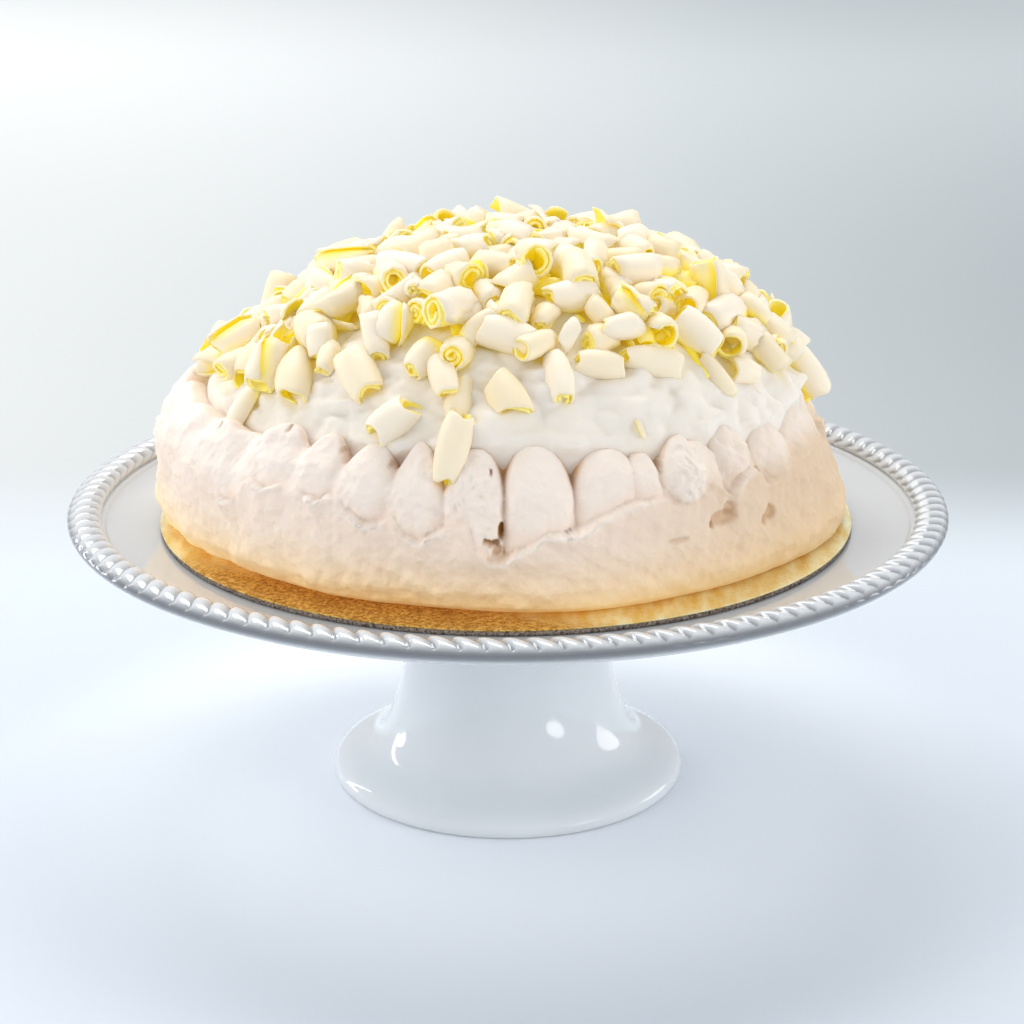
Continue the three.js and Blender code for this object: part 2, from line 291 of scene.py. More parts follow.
# A thick clear glaze over a white body: sharp reflections, a faint cool tint, and waves
# about 36 mm long where it ran.
glaze_waves = add_node(porcelain, "TexNoise", [("Scale", 28.0), ("Detail", 2.0)], [("Vector", glaze_place)])
glaze_bump = add_node(porcelain, "Bump", [("Strength", 0.06), ("Distance", 0.002)],
                      [("Height", glaze_waves)])
body_tint = add_node(porcelain, "Mix", [("data_type", "RGBA"), (6, "#dadee1"), (7, "#e1e5e8")],
                     [(0, glaze_waves)])
rope_shade_mark = add_node(porcelain, "Attribute", [("attribute_name", "rope_painted_shade")])
# Painted shade: the body turns grey where the grooves and the rope's outer side lie in shade.
body_tone = add_node(porcelain, "Mix", [("data_type", "RGBA"), (7, "#75797f")],
                     [(0, rope_shade_mark.outputs["Fac"]), (6, body_tint)])
porcelain_shader = add_node(porcelain, "BsdfPrincipled", [
    ("Roughness", 0.09), ("IOR", 1.5), ("Coat Weight", 0.6), ("Coat Roughness", 0.04),
    ("Subsurface Weight", 0.08), ("Subsurface Radius", (0.004, 0.004, 0.005)), ("Subsurface Scale", 1.0)],
    [("Base Color", body_tone), ("Normal", glaze_bump)])
add_node(porcelain, "OutputMaterial", [], [(0, porcelain_shader)])

stand = grid_mesh("porcelain_stand", stand_points, porcelain,
                  cap_start=(0, 0, HOLLOW_TOP), cap_end=(0, 0, PLATE_TOP))
add_mark(stand, "rope_painted_shade", rope_painted_shade)
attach(stand, "root")
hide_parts("cake_stand")


# ---------------------------------------------------------------- cake card
# A round grey board covered with gold foil, cut out with a die: the foil turns down
# a hair at the edge, and the raw board shows under it as a thin speckled band.

CARD_RADIUS = 126.4
CARD_TOP = 103.3
CARD_MIDDLE_X = -0.7
FOIL_UNDER = 0.42
BOARD_UNDER = 2.0

card_turn = np.linspace(0, 2 * np.pi, 360, endpoint=False)


def disc(name, profile, material):
    """A turned piece of the card, closed by points on its axis. The profile's pairs say how
    far in from the card's edge and how far down from its top each ring is."""
    reach, level = (np.array([CARD_RADIUS, CARD_TOP]) - profile).T[..., None]
    points = np.stack([CARD_MIDDLE_X + reach * np.cos(card_turn), reach * np.sin(card_turn),
                       level + 0 * card_turn], -1)
    return grid_mesh(name, points, material, cap_start=(CARD_MIDDLE_X, 0, level[0, 0]),
                     cap_end=(CARD_MIDDLE_X, 0, level[-1, 0]))


foil, foil_place = new_material("embossed_gold_foil")
# Thin yellow metal, rolled on the board. Painted shade: at the front, where the wall's shade
# falls, it is painted deep gold with specks of 1.25 mm; painted highlight: at the sides, where it
# reflects the light, it is painted pale, in soft streaks 7 mm wide and 24 mm long. Soft dents of 6 mm run
# all over it.
foil_grain = add_node(foil, "TexNoise", [("Scale", 800.0), ("Detail", 3.0), ("Roughness", 0.75)],
                      [("Vector", foil_place)])
foil_stretch = add_node(foil, "Mapping", [("Scale", (150.0, 42.0, 1.0))], [("Vector", foil_place)])
foil_streaks = add_node(foil, "TexNoise", [("Scale", 1.0), ("Detail", 4.0), ("Roughness", 0.65)],
                        [("Vector", foil_stretch)])
# Painted light and shade set by place: deep and more metallic at the front, where the wall's shade falls,
# pale at the sides, where the light reflects.
foil_way = add_node(foil, "VectorMath", [("operation", "DOT_PRODUCT"), (1, (0.45, 1.0, 0.0))],
                    [(0, foil_place)])
foil_painted_light = add_node(foil, "MapRange", [("interpolation_type", "SMOOTHSTEP"), (1, -0.119), (2, -0.1)],
                     [(0, foil_way)])

# The speckled gold painted as shade.
foil_speck = add_node(foil, "MapRange", [(1, 0.34), (2, 0.66)], [(0, foil_grain)])
foil_speckled = add_node(foil, "MapRange", [(3, 0.8), (4, 0.35)], [(0, foil_painted_light)])
foil_mark = add_node(foil, "Mix", [("data_type", "FLOAT")], [
    (0, foil_speckled), (2, foil_streaks), (3, foil_speck)])
foil_ramp = add_node(foil, "MapRange", [(1, 0.3), (2, 0.7)], [(0, foil_mark)])
foil_painted_shade_gold = add_node(foil, "Mix", [("data_type", "RGBA"), (6, "#b07a1e"), (7, "#f5d47c")], [(0, foil_ramp)])

# The streaked gold painted as highlight.
foil_stripes = add_node(foil, "MapRange", [(1, 0.36), (2, 0.62)], [(0, foil_streaks)])
foil_painted_highlight_gold = add_node(foil, "Mix", [("data_type", "RGBA"), (6, "#f1d276"), (7, "#fffcd4")],
                     [(0, foil_stripes)])
foil_colour = add_node(foil, "Mix", [("data_type", "RGBA")],
                       [(0, foil_painted_light), (6, foil_painted_shade_gold), (7, foil_painted_highlight_gold)])
foil_metal = add_node(foil, "MapRange", [(3, 0.75), (4, 0.5)], [(0, foil_painted_light)])

foil_dents = add_node(foil, "TexNoise", [("Scale", 170.0), ("Detail", 2.0)], [("Vector", foil_place)])
foil_dent_bump = add_node(foil, "Bump", [("Strength", 0.35), ("Distance", 0.0007)], [("Height", foil_dents)])
foil_bump = add_node(foil, "Bump", [("Strength", 0.55), ("Distance", 0.0004)],
                     [("Height", foil_grain), ("Normal", foil_dent_bump)])
foil_shader = add_node(foil, "BsdfPrincipled", [("Roughness", 0.24)], [
    ("Base Color", foil_colour), ("Metallic", foil_metal), ("Normal", foil_bump)])
add_node(foil, "OutputMaterial", [], [(0, foil_shader)])

board, board_place = new_material("grey_board_edge")
# Pressed grey pulp: torn fibre in dark and pale specks of 0.8 mm.
board_fibre = add_node(board, "TexNoise", [("Scale", 1300.0), ("Detail", 3.0), ("Roughness", 0.7)],
                       [("Vector", board_place)])
board_speck = add_node(board, "MapRange", [(1, 0.38), (2, 0.64)], [(0, board_fibre)])
board_tone = add_node(board, "Mix", [("data_type", "RGBA"), (6, "#3a2c26"), (7, "#b8a899")],
                      [(0, board_speck)])
board_shader = add_node(board, "BsdfPrincipled", [("Roughness", 0.9)], [("Base Color", board_tone)])
add_node(board, "OutputMaterial", [], [(0, board_shader)])

card_foil = disc("card_foil", [(0.5, FOIL_UNDER), (0, 0.4), (-0.02, 0.2), (0.12, 0.03), (0.4, 0), (8, 0),
                               (30, 0)], foil)
card_board = disc("card_board", [(0.6, BOARD_UNDER), (0.1, 1.95), (0.05, 1.2), (0.1, 0.41)], board)
for piece in (card_foil, card_board):
    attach(piece, "root")
    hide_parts("gold_card")


# ---------------------------------------------------------------- meringue case
# Baked meringue in one piece: a wall that was smoothed with a palette knife, whose wavy
# lip laps over a ring of piped kisses that lean inwards. Built as a grid round the cake.

CAKE_X = -1.5
CAKE_Z = CARD_TOP
WALL_RADIUS = 117
BOTTOM_LEVEL = 0.3
INSIDE_LEVEL = 42.5
INSIDE_RADIUS = 95
INSIDE_ROWS = 12
KISSES_BEHIND = 19

# Each kiss: its left and right sides and its tip in degrees round from the front, the
# height of the tip, how deep its grooves are, how rough it is and how rounded its top is.
KISSES = np.array([
    (-76, -61, -66, 52.5, 1.2, 0.1, 2.2), (-61, -49.5, -56, 52.0, 1.6, 0.15, 2.1),
    (-49.5, -37.5, -41, 55.5, 2.4, 0.2, 1.9), (-37.7, -28.5, -31.6, 54.6, 4.0, 0.3, 1.9),
    (-28.8, -19.0, -22.8, 53.5, 5.5, 0.3, 1.8), (-19.2, -9.7, -15, 54.7, 7.5, 0.35, 1.5),
    (-9.8, 0.2, -4.8, 53.2, 8.0, 0.8, 2.0), (0.3, 12.3, 5.8, 53.6, 9.0, 0.25, 2.4),
    (12.4, 25.0, 19, 51.4, 8.5, 0.15, 2.3), (21.5, 28.2, 25.4, 49.6, 6.5, 0.1, 2.0),
    (28.0, 36.6, 33.6, 53.2, 6.0, 0.9, 2.2), (27.2, 41.2, 36.0, 50.5, 5.0, 0.1, 1.9),
    (40.4, 51.0, 45.0, 53.2, 6.5, 0.5, 2.1), (50.6, 63.5, 57, 50.0, 5.0, 0.15, 2.2),
    (63.5, 80, 71, 49.0, 3.5, 0.1, 2.2)])

# Rough blobs of meringue that sit on smoother kisses: degrees, height, half width in
# degrees, half height in millimetres, how proud it is and how rough.
LUMPS = [(32.3, 43.6, 4.6, 10.6, 4.2, 1.1), (45.1, 46, 4.9, 9.5, 1.2, 0.5)]

# The lip's height all along the shown side: degrees, millimetres above the card.
LIP = np.array([
    (-76, 41), (-68, 38.5), (-60, 37), (-56, 35), (-53, 31), (-50, 28), (-47.5, 29.5), (-46, 34),
    (-44.5, 38), (-41, 36), (-38, 38), (-33.5, 38), (-30, 35.7), (-28.5, 38), (-24.5, 33), (-22, 30.2),
    (-19.5, 31), (-18, 33), (-15.5, 27.3), (-13, 26), (-9.8, 29.5), (-8, 31.5), (-5.5, 32), (-3.6, 22),
    (-2.5, 20), (-1, 19.2), (0.5, 20), (2, 22.5), (5, 25.5), (7, 29), (10, 28.3), (12, 28.5), (14, 30.2),
    (17, 33), (20, 35), (23.5, 36.2), (27.5, 36), (30, 33.4), (34, 33), (36.5, 36), (38.5, 37.5),
    (40, 35), (41, 32.4), (43, 35), (45.5, 38), (47.5, 39), (49.5, 36.5), (50.8, 32), (53, 32.4),
    (58, 34.5), (62, 36), (66, 35), (70, 36.5), (78, 34)])

# How far the lip stands out from the kisses: degrees, millimetres.
LIP_STEP = np.array([
    (-80, 0.4), (-62, 0.5), (-58, 1.2), (-52, 0.6), (-49.5, 1.9), (-47.5, 1.5), (-46.5, 0.4), (-44, 1.2),
    (-41, 2.3), (-38.5, 1.7), (-37, 0.3), (-34, 0.8), (-31, 2.5), (-28.5, 1.6), (-27.3, 0.4),
    (-25.3, 1.2), (-22, 2.7), (-19.6, 1.8), (-18.2, 0.4), (-16, 1.2), (-12.5, 2.1), (-9.5, 1.5),
    (-8, 0.5), (-5, 0.5), (-3.5, 1.0), (0, 2.0), (12, 2.1), (25, 1.6), (28, 0.2), (38, 0.2),
    (40.5, 0.7), (42, 1.4), (46, 1.8), (48, 1.3), (50, 0.5), (53, 0.6), (60, 0.3), (80, 0.3)])

# Pits and torn holes: degrees, height, half width and half height in millimetres, depth.
PITS = np.array([
    (-0.3, 28.4, 1.1, 3.0, 5.0), (-1.5, 25.4, 2.1, 1.3, 3.6), (-2.6, 26.4, 1.2, 1.0, 3.4),
    (-0.9, 22.6, 1.7, 2.0, 1.8), (38.6, 26.0, 5.6, 2.7, 1.3), (39.9, 28.6, 2.6, 2.6, 1.1),
    (35.9, 24.7, 1.3, 0.9, 3.2), (47.6, 21.6, 2.0, 1.8, 1.3), (49.3, 23.5, 2.8, 2.7, 1.3),
    (29.0, 22.2, 4.4, 1.0, 0.6), (50.7, 34.6, 0.9, 2.4, 2.6), (-2, 46.5, 0.5, 0.9, 2.0),
    (64.5, 26, 1.2, 0.8, 0.6), (-28.9, 50.6, 1.1, 1.5, 1.8), (-19.4, 47.8, 1.3, 1.6, 2.2),
    (-40.5, 54.0, 0.8, 1.3, 1.5), (-56.4, 49.8, 0.8, 1.2, 1.3), (-48.2, 50.4, 1.0, 0.7, 1.6)])

# The wall's outline: height, then the radius at the front and at the sides, then how
# much is taken off the right and put on the left as the cake leans.
WALL = np.array([(0, 109, 115, -2.5), (1, 111.4, 118, -2.2), (3, 114, 121, -0.5), (9, 117, 123, 0.5),
                 (20, 118, 122.3, 2), (30, 117.5, 121.3, 4.3), (38, 115.5, 119, 6), (45, 111.5, 115.5, 6),
                 (53, 104, 110, 5), (62, 95, 101, 4)])

# The radius of the foot of the wall round the cake: degrees, millimetres.
FOOT_LINE = np.array([(-180, 110), (-120, 118), (-90, 118), (-75, 114), (-65, 111.5), (-55, 109),
                      (-43, 108), (-30, 108.5), (-20, 107.7), (-12, 107), (-5, 108.5), (5, 110.3),
                      (15, 111.8), (30, 111), (45, 112), (56, 114), (66, 117.5), (75, 120), (85, 121),
                      (110, 119), (180, 110)])


def waves(points, size, seed, count=26):
    """Even, seamless noise of about -1 to 1: the sum of plane waves in scattered
    directions, with wavelengths scattered round one size in millimetres."""
    random = np.random.default_rng(seed)
    direction = random.normal(size=(3, count))
    direction /= np.linalg.norm(direction, axis=0)
    length = size * random.uniform(0.65, 1.6, count)
    phase = random.uniform(0, 2 * np.pi, count)
    return np.cos(points @ (direction * 2 * np.pi / length) + phase).sum(-1) / math.sqrt(count)


def kisses_behind(first, last):
    """Kisses like the shown ones for the rest of the ring, scattered in width and height."""
    random = np.random.default_rng(11)
    count = KISSES_BEHIND
    widths = random.uniform(8.8, 13.2, count)
    ends = first + np.concatenate([[0], np.cumsum(widths)]) * (last - first) / widths.sum()
    middles = (ends[:-1] + ends[1:]) / 2
    return np.stack([ends[:-1], ends[1:], middles + random.uniform(-1.5, 1.5, count),
                     random.uniform(51, 55, count), random.uniform(5, 9, count),
                     random.choice([0.1, 0.2, 0.4, 0.8], count), random.uniform(1.2, 2.2, count)], -1)


behind = kisses_behind(78, 284)
kisses = np.vstack([KISSES, behind])
lip_behind = np.concatenate([
    np.stack([behind[:, 0], 36 + 1.5 * np.sin(3 * behind[:, 0])], -1),
    np.stack([behind[:, 2], 31 + 2 * np.sin(5 * behind[:, 2])], -1)])
lip_behind = lip_behind[np.argsort(lip_behind[:, 0])]


def blurred(values, spread, reach):
    """Each row of a grid that goes round the cake, averaged with a bell of a few columns:
    the weight at a distance is e to the minus square of distance over spread."""
    bell = np.exp(-(np.arange(-reach, reach + 1) / spread) ** 2)
    bell /= bell.sum()
    return np.stack([np.convolve(np.pad(row, reach, mode="wrap"), bell, "valid")
                     for row in np.atleast_2d(values)])


azimuth = np.concatenate([np.linspace(-76, 82, 740, endpoint=False),
                          np.linspace(82, 284, 330, endpoint=False)])
angle = np.radians(azimuth)
lip_points = np.vstack([LIP, lip_behind[1:], [(284, 41)]])
lip_height = blurred(np.interp(azimuth, lip_points[:, 0], lip_points[:, 1]), 2.4, 6)[0]
turned_back = (azimuth + 180) % 360 - 180
lip_step = np.interp(azimuth, np.append(LIP_STEP[:, 0], 284), np.append(LIP_STEP[:, 1], 0.7))
lip_step[azimuth > 80] = 0.9 + 0.4 * np.sin(0.3 * azimuth[azimuth > 80])
foot_radius = blurred(np.interp(turned_back, FOOT_LINE[:, 0], FOOT_LINE[:, 1]), 14, 30)[0]

# Between two kisses: how deep the gap is, and how low their tops meet. The kisses at the
# left were smoothed with the wall, so their gaps are shallow.
gap_depth = np.interp(azimuth, [-76, -50, -35, -18, -10, 270, 284], [2.8, 3.4, 5.0, 6.5, 9.5, 9.5, 2.8])
gap_level = np.interp(azimuth, [-76, -45, -35, -26, 270, 284], [49.5, 49.5, 48.5, 44.5, 44.5, 49.5])
melted = np.maximum.reduce([smooth_step(-5, -14, azimuth), smooth_step(250, 262, azimuth),
                            0.8 * smooth_step(49, 55, azimuth) * smooth_step(90, 80, azimuth)])


def wall_radius(level):
    """The plain outside of the case at each azimuth and height, its foot drawn in."""
    front, side, lean = (np.interp(level, WALL[:, 0], WALL[:, column]) for column in (1, 2, 3))
    plain = front + (side - front) * np.sin(angle) ** 2 - lean * np.sin(angle)
    base = WALL[0, 1] + (WALL[0, 2] - WALL[0, 1]) * np.sin(angle) ** 2 - WALL[0, 3] * np.sin(angle)
    return plain + (foot_radius - base) * np.exp(-(level / 13) ** 1.6)


def kiss_surface(level):
    """At each column and height, the depth of the kisses' surface under the plain outside,
    the roughness, and whether any kiss is there. A kiss narrows from its body to
    its tip, its middle leans towards the tip, and its section is nearly an ellipse."""
    depth = gap_depth + 0 * level
    rough = np.zeros(level.shape)
    inside = np.zeros(level.shape, bool)
    for left, right, tip, top, groove, roughness, rounded in kisses:
        centre, half = (left + right) / 2, (right - left) / 2
        rise = np.clip((level - 36) / (top - 36), 0, 1)
        middle = centre + (tip - centre) * rise**1.3
        narrow = np.clip(1 - rise**rounded, 0, 1) ** (0.5 if rounded > 1.7 else 0.7)
        width = half * np.maximum(narrow, 1e-3) * 1.05
        away = np.abs((azimuth - middle + 180) % 360 - 180) / width
        here = (away < 1) & (level < top)
        swell = groove * (0.25 + 0.75 * narrow)
        lobe = np.clip(1 - away**2.1, 0, 1) ** (1 / 2.1)
        under = swell * (1 - lobe) + (groove - swell) * 0.25
        better = here & (under < depth)
        depth = np.where(better, under, depth)
        rough = np.where(better, roughness, rough)
        inside |= here
    return depth, rough, inside


# The crest of each column: the top of the tallest kiss there, or the gap between two.
fine = np.linspace(40, 57, 171)[:, None] + 0 * azimuth
crest = np.where(kiss_surface(fine)[2], fine, gap_level).max(axis=0)
crest = np.maximum(blurred(crest, 2.6 * math.sqrt(2), 7)[0], gap_level)

share = np.concatenate([np.linspace(0, 0.12, 8, endpoint=False), np.linspace(0.12, 0.9, 58, endpoint=False),
                        1 - 0.1 * np.linspace(1, 0, 12) ** 1.7])[:, None]
level = BOTTOM_LEVEL + (crest - BOTTOM_LEVEL) * share
depth, rough, _ = kiss_surface(level)
depth += (blurred(depth, 4 * math.sqrt(2), 12) - depth) * melted
lump_mark = np.zeros(level.shape)
for lump_azimuth, lump_height, half_width, half_height, stands, roughness in LUMPS:
    sideways, upward = (azimuth - lump_azimuth) / half_width, (level - lump_height) / half_height
    lump = np.clip(1 - sideways**2 - upward**2, 0, 1) ** 0.5
    depth -= stands * lump
    lump_mark = np.maximum(lump_mark, np.minimum(1, 1.6 * lump) * (0.4 + 0.5 * roughness))
    rough = np.maximum(rough, roughness * np.minimum(1, 2 * lump))
rough *= smooth_step(0, 3, crest - level)
plain = wall_radius(level)
flat = np.stack([plain * np.sin(angle), -plain * np.cos(angle), level], -1)

# Above the lip the kisses show; the wall below it is proud of them, most at the lip, and a
# sharp lip leaves a groove behind it. At the left the lip runs softly into the kisses.
lip_soft = 0.5 + 3.0 * (1 - smooth_step(0.3, 1.0, lip_step)) * smooth_step(-6, -24, azimuth)
above = smooth_step(-lip_soft, lip_soft, level - lip_height + 0.35 * waves(flat, 5, 21))
proud = 1.15 * lip_step * np.exp(-np.clip(lip_height - level, 0, 60) / 3.0) + 0.2 * lip_step
kissed = depth + 0.9 * rough * np.abs(waves(flat, 5.5, 22)) + 0.45 * rough * np.abs(waves(flat, 2.6, 23))
undercut = 0.8 * lip_step * smooth_step(0.7, 1.6, lip_step)
kissed += undercut * np.exp(-np.clip(level - lip_height, 0, 60) / 1.5)
carve = above * kissed - (1 - above) * proud
pit_mark = np.zeros(level.shape)
for pit_azimuth, pit_height, half_width, half_height, pit_depth in PITS:
    sideways = np.radians((azimuth - pit_azimuth + 180) % 360 - 180) * WALL_RADIUS / half_width
    distance = np.sqrt(sideways**2 + ((level - pit_height) / half_height) ** 2)
    hollowed = 1 - smooth_step(0.72, 1.08, distance)
    carve = carve + pit_depth * hollowed
    pit_mark = np.maximum(pit_mark, hollowed * min(1, 0.15 + pit_depth / 5.5))
swell = 0.65 * waves(flat, 26, 24) + 0.42 * waves(flat, 10, 25) + 0.16 * waves(flat, 3.6, 26)
fade_in = smooth_step(0, 3, level)
outer = plain - carve + swell * fade_in

# The inner side turns over at the crest and slopes in under the cream.
inward = np.linspace(0, 1, INSIDE_ROWS + 1)[1:, None]
inner_radius = outer[-1] - (outer[-1] - INSIDE_RADIUS) * (0.35 * inward + 0.65 * inward**2)
inner_radius -= 1.6 * np.sin(np.pi * np.clip(inward * 2, 0, 1))
inner_level = crest - (crest - INSIDE_LEVEL) * inward**1.6
case_radius = np.vstack([outer, inner_radius])
case_level = np.vstack([level, inner_level])
case_points = np.stack([CAKE_X + case_radius * np.sin(angle), -case_radius * np.cos(angle),
                        CAKE_Z + case_level], -1)

# Painted shade, brown, deep in the grooves and most near the top; the pits are marked brown too.
groove_painted_shade = above * smooth_step(3.2, 8.0, depth) * smooth_step(30, 50, level)
groove_shade_and_pit_tan = np.clip(np.maximum(groove_painted_shade, pit_mark), 0, 1)
groove_shade_and_pit_tan = np.vstack([groove_shade_and_pit_tan, np.repeat(groove_shade_and_pit_tan[-1:], INSIDE_ROWS, axis=0)])
# Painted light: warm colour at the foot of the wall, where the gold card throws light up on it.
gold_light = np.exp(-((case_level / 13) ** 1.3)) * (0.58 + 0.42 * np.cos(np.radians(turned_back + 48)))

# Painted shade: the right side is painted darker, where less light falls. The kisses, and
# most of all the lip's thin edge and the rough blobs, are paler: partly their own colour,
# partly painted light, with a painted highlight along the lip's edge.
right_side_painted_shade = smooth_step(5, 60, turned_back) * smooth_step(170, 120, turned_back) + 0 * case_level
# Painted highlight along the lip's thin edge; the kisses and rough blobs are paler, partly painted light.
pale = np.exp(-(((level - lip_height + 0.6) / 1.0) ** 2)) * np.clip(0.6 * lip_step - 0.5, 0, 0.6)
kiss_pale = 0.65 * smooth_step(-2, 8, level - lip_height)
pale = np.maximum.reduce([pale, kiss_pale, 0.8 * lump_mark])
pale = np.vstack([pale, np.zeros((INSIDE_ROWS, len(azimuth)))])

meringue, meringue_place = new_material("baked_meringue")
# Dry sugar foam: pale pinkish cream in patches of 14 mm, brown painted shade in its grooves, painted
# warm light at the foot where the gold card glows on it, painted shade on its right side. It has
# dimples of 4 mm and pores of 1.4 mm, coarser than real ones so that they show.
meringue_marks = {mark: add_node(meringue, "Attribute", [("attribute_name", mark)]).outputs["Fac"]
                  for mark in ("groove_shade_and_pit_tan", "gold_light", "right_side_painted_shade", "pale")}
meringue_patch = add_node(meringue, "TexNoise", [("Scale", 70.0), ("Detail", 3.0)],
                          [("Vector", meringue_place)])
meringue_tone = add_node(meringue, "Mix", [("data_type", "RGBA"), (6, "#f2decf"), (7, "#f8eadf")],
                         [(0, meringue_patch)])
# Painted light and shade over the base tone: shade on the right side, warm light at the foot, paler kisses
# and a highlight on the lip, brown in the grooves as shade and in the pits.
for mark, colour in (("right_side_painted_shade", "#dec5a9"), ("gold_light", "#fddc9c"), ("pale", "#f8eee4"),
                     ("groove_shade_and_pit_tan", "#b9813c")):
    meringue_tone = add_node(meringue, "Mix", [("data_type", "RGBA"), (7, colour)],
                             [(0, meringue_marks[mark]), (6, meringue_tone)])
meringue_bumps = []
for scale, detail, strength, relief in ((240.0, 2.0, 0.45, 0.0012), (700.0, 4.0, 0.5, 0.0006)):
    meringue_pores = add_node(meringue, "TexNoise", [("Scale", scale), ("Detail", detail)],
                              [("Vector", meringue_place)])
    meringue_bump = add_node(meringue, "Bump", [("Strength", strength), ("Distance", relief)],
                             [("Height", meringue_pores)] + meringue_bumps)
    meringue_bumps = [("Normal", meringue_bump)]
# A faint glow stands for the light that the foil throws up at the foot of the wall.
meringue_glow = add_node(meringue, "Mix", [("data_type", "RGBA"), (6, "#000000"), (7, "#ffd08c")],
                         [(0, meringue_marks["gold_light"])])
meringue_shader = add_node(meringue, "BsdfPrincipled", [
    ("Emission Strength", 0.25), ("Roughness", 0.72), ("Specular IOR Level", 0.3),
    ("Subsurface Weight", 0.2), ("Subsurface Radius", (0.004, 0.003, 0.002)), ("Subsurface Scale", 1.0)],
    [("Base Color", meringue_tone), ("Emission Color", meringue_glow)] + meringue_bumps)
add_node(meringue, "OutputMaterial", [], [(0, meringue_shader)])

case = grid_mesh("meringue_kisses", case_points, meringue,
                 cap_start=(CAKE_X, 0, CAKE_Z + BOTTOM_LEVEL),
                 cap_end=(CAKE_X, 0, CAKE_Z + INSIDE_LEVEL))
for mark, values in (("groove_shade_and_pit_tan", groove_shade_and_pit_tan), ("gold_light", gold_light), ("right_side_painted_shade", right_side_painted_shade), ("pale", pale)):
    add_mark(case, mark, values)
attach(case, "root")
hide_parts("meringue_case")


# ---------------------------------------------------------------- whipped cream
# Whipped cream spread over the case with a palette knife: a dome with soft folds whose
# rolled hem hangs over the kisses' tips and fills the gaps between them.

CREAM_BASE = 48
CREAM_RISE = 47.5
CREAM_UNDER = 43
CREAM_COLUMNS = 760
DOME_ROWS = 96
HEM_ROWS = 14

# The height of the cream's hem: degrees, millimetres above the card.
HEM = np.array([(-180, 51), (-120, 50), (-90, 50), (-76, 50), (-62, 51), (-50, 52), (-42, 54), (-36, 54),
                (-30, 50.5), (-25, 50), (-21, 46.5), (-17, 50), (-10, 52), (-1, 51), (2.4, 54), (7, 54.5),
                (12.3, 49.4), (16, 52), (22, 53), (27, 51), (33, 54), (37, 53.5), (41, 48.4), (45, 53),
                (50, 51), (54, 47.5), (58, 48.5), (64, 49), (70, 48.5), (90, 49), (130, 51), (180, 51)])


def cream_edge(turn):
    """The dome's radius where it meets the case, at an angle round from the front."""
    return 99.5 + 6.5 * np.sin(turn) ** 2 - 0.3 * np.sin(turn)


def cream_power(turn):
    """How squarely the dome drops to its edge: most at the front, least at the left."""
    return 2.65 + 0.35 * np.sin(turn) + 0.35 * np.sin(turn) ** 5 + 0.75 * np.maximum(np.cos(turn), 0) ** 2


def on_cream(turn, down, lift):
    """Points over the plain dome, from an angle, a share of the way down from the top to
    the edge, and a lift along the normal. Also the normal and the down-slope direction."""
    edge, power = cream_edge(turn), cream_power(turn)
    slope = CREAM_RISE * power * down ** (power - 1) / edge
    length = np.sqrt(1 + slope**2)
    out = np.stack([np.sin(turn), -np.cos(turn), 0 * turn], -1)
    up = np.array([0, 0, 1.0])
    normal = (slope / length)[..., None] * out + (1 / length)[..., None] * up
    downhill = (1 / length)[..., None] * out - (slope / length)[..., None] * up
    height = CREAM_BASE + CREAM_RISE * (1 - down**power)
    place = (edge * down)[..., None] * out + height[..., None] * up + np.asarray(lift)[..., None] * normal
    return place + np.array([CAKE_X, 0, CAKE_Z]), normal, downhill


cream_turn = np.linspace(-np.pi, np.pi, CREAM_COLUMNS, endpoint=False)
hem_height = blurred(np.interp(np.degrees(cream_turn), HEM[:, 0], HEM[:, 1]), 2.4, 6)[0]
hem_down = (1 - (hem_height - CREAM_BASE) / CREAM_RISE).clip(0, 1.05) ** (1 / cream_power(cream_turn))
dome_share = np.linspace(0.015, 1, DOME_ROWS)[:, None] ** 0.9
dome_down = dome_share * hem_down
dome_turn = cream_turn + 0 * dome_down
dome_flat, dome_normal, _ = on_cream(dome_turn, dome_down, 0 * dome_down)

# The folds: rounded swells that meet in creases, drawn out level by the knife.
drawn_out = dome_flat * np.array([1, 1, 2.1])
folds = 2.2 * np.abs(waves(drawn_out, 34, 31)) + 1.5 * np.abs(waves(drawn_out, 15, 32))
folds += 0.5 * waves(drawn_out, 8, 33) + 0.12 * waves(dome_flat, 3.5, 34) - 2.1
overhang = smooth_step(0.70, 0.97, dome_share)
front = np.exp(-(((np.degrees(dome_turn) - 15) / 55) ** 2))
lift = folds * (0.6 + 0.4 * overhang) + (2.2 + 2.6 * front) * overhang

# One blob of cream over the kisses, and one long crease left of it.
RIM_MM_PER_DEGREE = 1.72
flat_height = dome_flat[..., 2] - CAKE_Z
dome_degrees = np.degrees(dome_turn)
blob = np.hypot(RIM_MM_PER_DEGREE * (dome_degrees + 1), flat_height - 55.5) / 7
lift += 3.2 * np.exp(-(blob**2.6))
crease_rise = flat_height - (56.8 + 0.32 * (dome_degrees + 36))
crease_run = smooth_step(-41, -35, dome_degrees) * (1 - smooth_step(-29, -23, dome_degrees))
crease_shape = 1.5 * np.exp(-(((crease_rise - 2.6) / 2.2) ** 2)) - 2.2 * np.exp(-((crease_rise / 0.9) ** 2))
lift += crease_run * crease_shape
dome = dome_flat + lift[..., None] * dome_normal

